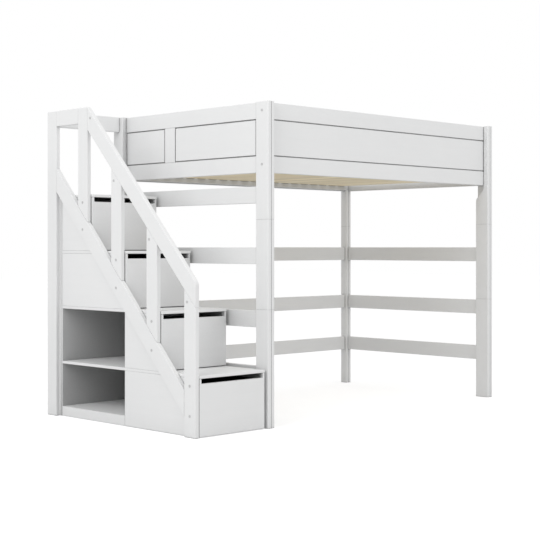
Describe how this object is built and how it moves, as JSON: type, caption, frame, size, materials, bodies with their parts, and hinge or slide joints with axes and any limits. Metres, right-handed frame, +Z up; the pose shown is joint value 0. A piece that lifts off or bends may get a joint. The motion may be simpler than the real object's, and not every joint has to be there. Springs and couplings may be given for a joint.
{
  "type": "loft bed with drawer stairs",
  "caption": "White wooden loft bed with panelled guards and a slatted base, and a staircase of drawers with a bookcase and a raking balustrade at one end.",
  "frame": {"origin": "on the floor, under the middle of the bed and stairs together", "axes": "+X along the bed away from the stairs, +Y from the open front to the rear, +Z up"},
  "size_m": [2.589, 1.362, 1.8],
  "materials": {
    "white_lacquer": "satin lacquer",
    "slat_wood": "bare sanded wood",
    "tray_foil": "dark foil on board",
    "runner_steel": "grey powder coat",
    "cap_plastic": "matt"
  },
  "bodies": {
    "bed": {"bolt_caps": "cap_plastic", "bookcase_base": "white_lacquer", "bookcase_partitions": "white_lacquer", "drawer_runners": "runner_steel", "front_guard_lower_rail": "white_lacquer", "front_guard_panel": "white_lacquer", "front_guard_top_rail": "white_lacquer", "front_left_post": "white_lacquer", "front_right_post": "white_lacquer", "front_slat_ledger": "white_lacquer", "inner_landing_post": "white_lacquer", "landing_back_rail": "white_lacquer", "landing_post": "white_lacquer", "landing_side_rail": "white_lacquer", "left_end_guard_front_panel": "white_lacquer", "left_end_guard_lower_rail": "white_lacquer", "left_end_guard_rear_panel": "white_lacquer", "left_end_guard_stile": "white_lacquer", "left_end_guard_top_rail": "white_lacquer", "left_end_rails": "white_lacquer", "lower_baluster": "white_lacquer", "rear_guard_lower_rail": "white_lacquer", "rear_guard_panel": "white_lacquer", "rear_guard_top_rail": "white_lacquer", "rear_left_post": "white_lacquer", "rear_rails": "white_lacquer", "rear_right_post": "white_lacquer", "rear_slat_ledger": "white_lacquer", "right_end_guard_lower_rail": "white_lacquer", "right_end_guard_panel": "white_lacquer", "right_end_guard_top_rail": "white_lacquer", "right_end_rails": "white_lacquer", "slats": "slat_wood", "stair_handrail": "white_lacquer", "stair_inner_panel": "white_lacquer", "stair_newel": "white_lacquer", "stair_rear_panel": "white_lacquer", "stair_spacers": "white_lacquer", "stair_stringer": "white_lacquer", "step_1_side_board": "white_lacquer", "step_1_tread": "white_lacquer", "step_2_side_board": "white_lacquer", "step_2_tread": "white_lacquer", "step_3_side_board": "white_lacquer", "step_3_tread": "white_lacquer", "step_4_side_board": "white_lacquer", "step_4_tread": "white_lacquer", "top_newel": "white_lacquer", "upper_baluster": "white_lacquer"},
    "drawer_1": {"drawer_1_front": "white_lacquer", "drawer_1_tray": "tray_foil"},
    "drawer_2": {"drawer_2_front": "white_lacquer", "drawer_2_tray": "tray_foil"},
    "drawer_3": {"drawer_3_front": "white_lacquer", "drawer_3_tray": "tray_foil"},
    "drawer_4": {"drawer_4_front": "white_lacquer", "drawer_4_tray": "tray_foil"}
  },
  "joints": [
    {"name": "drawer_1_slide", "type": "slide", "parent": "bed", "child": "drawer_1", "axis": [0, -1, 0], "range_m": [0, 0.42]},
    {"name": "drawer_2_slide", "type": "slide", "parent": "bed", "child": "drawer_2", "axis": [0, -1, 0], "range_m": [0, 0.19]},
    {"name": "drawer_3_slide", "type": "slide", "parent": "bed", "child": "drawer_3", "axis": [0, -1, 0], "range_m": [0, 0.42]},
    {"name": "drawer_4_slide", "type": "slide", "parent": "bed", "child": "drawer_4", "axis": [0, -1, 0], "range_m": [0, 0.19]}
  ]
}
